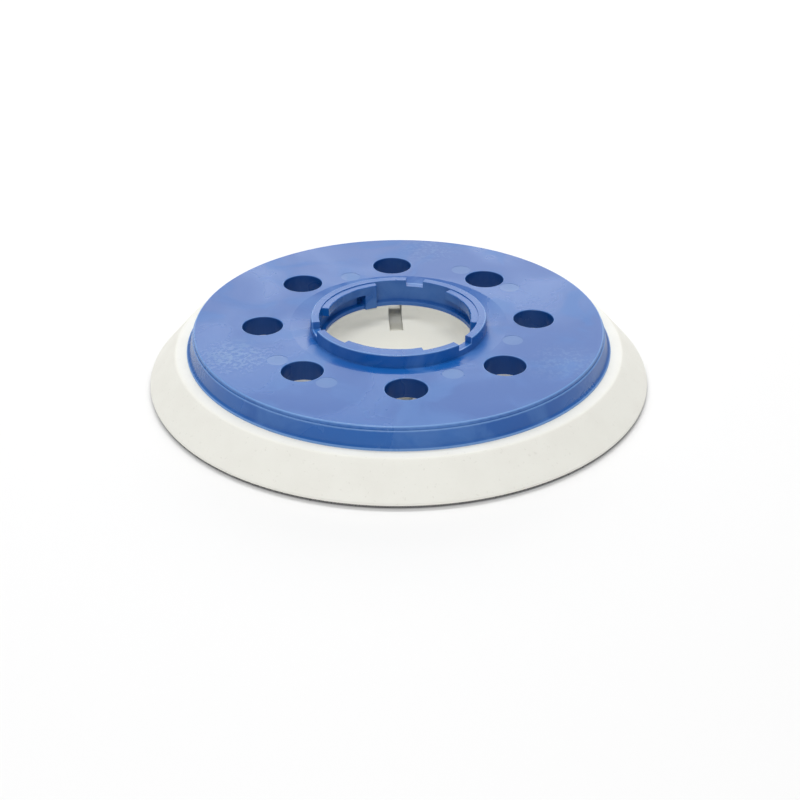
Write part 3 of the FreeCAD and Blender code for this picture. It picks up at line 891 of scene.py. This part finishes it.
@dataclass
class TapeCarrier:
    """The woven carrier of the hook tape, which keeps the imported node's own shape."""

    node: str = "hook_carrier"
    finish: NylonYarnFinish = field(default_factory=NylonYarnFinish)
    thread_pitch: float = 0.7 * MM

    def build(self, effects: Effects) -> None:
        """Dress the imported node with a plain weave."""
        material, nodes, shader, place = start_material("woven_carrier")
        weave = nodes.add("ShaderNodeGroup", {"Vector": place, "Pitch": self.thread_pitch},
                          node_tree=effects.weave).outputs["Height"]
        colour = nodes.mix(weave, self.finish.colour, self.finish.light)
        bump = nodes.add("ShaderNodeBump", {"Height": weave, "Distance": 0.1 * MM})
        rough = nodes.math("MULTIPLY_ADD", weave, -0.1, self.finish.roughness + 0.25)
        nodes.tree.links.new(colour, shader.inputs["Base Color"])
        nodes.tree.links.new(rough, shader.inputs["Roughness"])
        nodes.tree.links.new(bump.outputs[0], shader.inputs["Normal"])
        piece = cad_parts[self.node]
        dress(piece, material)
        log.info("%s: dressed", piece.name)


@dataclass
class HookPile:
    """The nylon hooks that stand under the carrier, in rows that face both ways by turns."""

    node: str = "hook_pile"
    finish: NylonYarnFinish = field(default_factory=NylonYarnFinish)
    hook_pitch: float = 1.5 * MM
    row_pitch: float = 1.7 * MM
    thickness: float = 0.17 * MM
    reach: float = 0.42 * MM
    edge_margin: float = 0.45 * MM
    port_circle: float = 40.7 * MM
    port_radius: float = 5.5 * MM
    port_count: int = 8
    seed: int = 7

    def places(self) -> np.ndarray:
        """Where the hooks stand: a staggered grid inside the tape and outside its ports."""
        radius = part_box(self.node)[1].x - self.edge_margin
        rows = np.arange(-radius, radius, self.row_pitch)
        steps = np.arange(-radius, radius, self.hook_pitch)
        x, y = np.meshgrid(steps, rows)
        x = x + (np.arange(len(rows)) % 2)[:, None] * self.hook_pitch / 2
        spots = np.stack([x.ravel(), y.ravel()], 1)
        angle = 2 * math.pi * np.arange(self.port_count) / self.port_count
        ports = self.port_circle * np.stack([np.cos(angle), np.sin(angle)], 1)
        away = np.linalg.norm(spots[:, None] - ports[None], axis=2).min(axis=1)
        keep = (np.linalg.norm(spots, axis=1) < radius) & (
            away > self.port_radius + self.edge_margin)
        return spots[keep]

    def build(self, effects: Effects) -> None:
        """Carry a three-sided section along every hook's path at once.

        A hook's path leaves the carrier, runs down, and turns back up through half a circle.
        Its ring i of 5 has its three corners a thickness apart, square to the path there.
        """
        low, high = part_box(self.node)
        spots = self.places()
        draw = np.random.default_rng(self.seed)
        row = np.round(spots[:, 1] / self.row_pitch).astype(int)
        heading = (row % 2) * math.pi + draw.normal(0.0, 0.12, len(spots))
        size = 1 - 0.12 * draw.random(len(spots))
        half = self.thickness / 2
        depth = high.z - low.z - half
        bend = self.reach / 2
        along = np.array([0.0, 0.0, bend * 0.5, bend * 1.5, 2 * bend])
        down = np.array([-0.05 * MM, depth - bend * 0.6, depth - half * 0.1,
                         depth - half * 0.1, depth - bend * 0.9])
        tilt = np.array([0.0, 0.25, 1.05, 2.10, 2.9])
        corner = 2 * math.pi * np.arange(3) / 3
        across = half * np.cos(corner)
        side = half * np.sin(corner)
        ring_along = along[:, None] + np.cos(tilt)[:, None] * across
        ring_down = down[:, None] - np.sin(tilt)[:, None] * across
        ring_side = np.broadcast_to(side, ring_along.shape)
        u = ring_along.ravel()[None] * size[:, None]
        v = np.broadcast_to(ring_side.ravel(), u.shape)
        z = high.z - ring_down.ravel()[None] * size[:, None]
        x = spots[:, :1] + u * np.cos(heading)[:, None] - v * np.sin(heading)[:, None]
        y = spots[:, 1:] + u * np.sin(heading)[:, None] + v * np.cos(heading)[:, None]
        points = np.stack([x, y, np.maximum(z, low.z)], -1).reshape(-1, 3)
        count, rings = len(spots), len(along)
        here = np.arange(rings * 3).reshape(rings, 3)
        beside = np.roll(here, -1, axis=1)
        quads = np.stack([here[:-1], beside[:-1], beside[1:], here[1:]], -1).reshape(-1, 4)
        shift = (np.arange(count) * rings * 3)[:, None, None]
        caps = np.array([[2, 1, 0], (here[-1, 0] + np.arange(3)).tolist()])
        faces = (quads[None] + shift).reshape(-1, 4).tolist()
        faces += (caps[None] + shift).reshape(-1, 3).tolist()
        piece = new_piece("hooks", points, faces)
        smooth_by_angle(piece, 80.0)
        material, nodes, shader, place = start_material("hook_nylon")
        tint = nodes.ramp(nodes.noise(place, 300.0), 0.3, 0.7)
        colour = nodes.mix(tint, self.finish.colour, self.finish.light)
        nodes.tree.links.new(colour, shader.inputs["Base Color"])
        shader.inputs["Roughness"].default_value = self.finish.roughness
        dress(piece, material)
        finish_piece(piece, Slot.HOOKS, self.node)


# ---------------------------------------------------------------- studio
@dataclass(frozen=True)
class Softbox:
    """A square soft light that faces the pad."""

    name: str
    azimuth: float
    elevation: float
    distance: float
    width: float
    height: float
    power: float

    def build(self, target: Vector) -> None:
        """Hang the light and aim it.

        Args:
            target: The point it faces.
        """
        light = bpy.data.lights.new(self.name, "AREA")
        light.shape = "RECTANGLE"
        light.size = self.width
        light.size_y = self.height
        light.energy = self.power
        holder = bpy.data.objects.new(self.name, light)
        bpy.context.scene.collection.objects.link(holder)
        a, e = math.radians(self.azimuth), math.radians(self.elevation)
        away = Vector((math.sin(a) * math.cos(e), -math.cos(a) * math.cos(e), math.sin(e)))
        holder.location = target + away * self.distance
        holder.rotation_euler = away.to_track_quat("Z", "Y").to_euler()


@dataclass
class Studio:
    """A pale floor, a white surround, soft lights and the camera."""

    floor_half: float = 3.0
    floor_colour: Colour = (0.88, 0.88, 0.88, 1.0)
    surround: float = 0.46
    look_at: tuple[float, float, float] = (-0.54 * MM, -17.13 * MM, 0.0)
    distance: float = 441.4 * MM
    elevation: float = 29.865
    azimuth: float = -3.0
    roll: float = -0.145
    lens: float = 67.18
    lights: tuple[Softbox, ...] = (
        Softbox("back_softbox", 172.0, 25.0, 1.0, 1.0, 0.34, 2.2),
        Softbox("overhead_softbox", 180.0, 66.0, 1.0, 0.9, 0.14, 4.8),
        Softbox("key_softbox", -10.0, 50.0, 1.0, 0.4, 0.4, 3.0),
    )

    def build_floor(self) -> None:
        """The floor: a flat grid whose material is a plain pale matt paint."""
        half = self.floor_half
        side = np.linspace(-half, half, 3)
        x, y = np.meshgrid(side, side)
        points = np.stack([x.ravel(), y.ravel(), np.zeros(9)], 1)
        here = np.arange(9).reshape(3, 3)
        quads = np.stack([here[:-1, :-1], here[:-1, 1:], here[1:, 1:], here[1:, :-1]],
                         -1).reshape(-1, 4)
        floor = new_piece("floor", points, quads)
        material, _, shader, _ = start_material("floor_paint")
        shader.inputs["Base Color"].default_value = self.floor_colour
        shader.inputs["Roughness"].default_value = 0.9
        shader.inputs["Specular IOR Level"].default_value = 0.1
        dress(floor, material)

    def build_surround(self) -> None:
        """An even white surround."""
        world = bpy.data.worlds.new("surround")
        world.use_nodes = True
        sky = world.node_tree.nodes["Background"]
        sky.inputs["Color"].default_value = (1.0, 1.0, 1.0, 1.0)
        sky.inputs["Strength"].default_value = self.surround
        bpy.context.scene.world = world

    def build_camera(self) -> None:
        """The camera, on a line back from its target at an azimuth and an elevation."""
        data = bpy.data.cameras.new("camera")
        data.lens = self.lens
        data.sensor_width = 36.0
        data.clip_start = 0.01
        data.dof.use_dof = False
        camera = bpy.data.objects.new("camera", data)
        bpy.context.scene.collection.objects.link(camera)
        a, e = math.radians(self.azimuth), math.radians(self.elevation)
        back = Vector((math.sin(a) * math.cos(e), -math.cos(a) * math.cos(e), math.sin(e)))
        camera.location = Vector(self.look_at) + back * self.distance
        turn = (-back).to_track_quat("-Z", "Y").to_matrix().to_4x4()
        turn = turn @ Matrix.Rotation(math.radians(self.roll), 4, "Z")
        camera.rotation_euler = turn.to_euler()
        bpy.context.scene.camera = camera

    def build(self) -> None:
        """Build the floor, the surround, the lights and the camera."""
        self.build_floor()
        self.build_surround()
        for light in self.lights:
            light.build(Vector((0.0, 0.0, 0.0)))
        self.build_camera()
        bpy.context.scene.view_settings.view_transform = "Standard"
        log.info("studio: floor, %d lights and camera", len(self.lights))


def main() -> None:
    """Build the studio and the pad's pieces in order."""
    logging.basicConfig(level=logging.INFO, format="%(name)s: %(message)s")
    effects = Effects()
    Studio().build()
    MouldedPlate().build(effects)
    FoamPad().build(effects)
    TapeCarrier().build(effects)
    HookPile().build(effects)


if __name__ == "__main__":
    main()
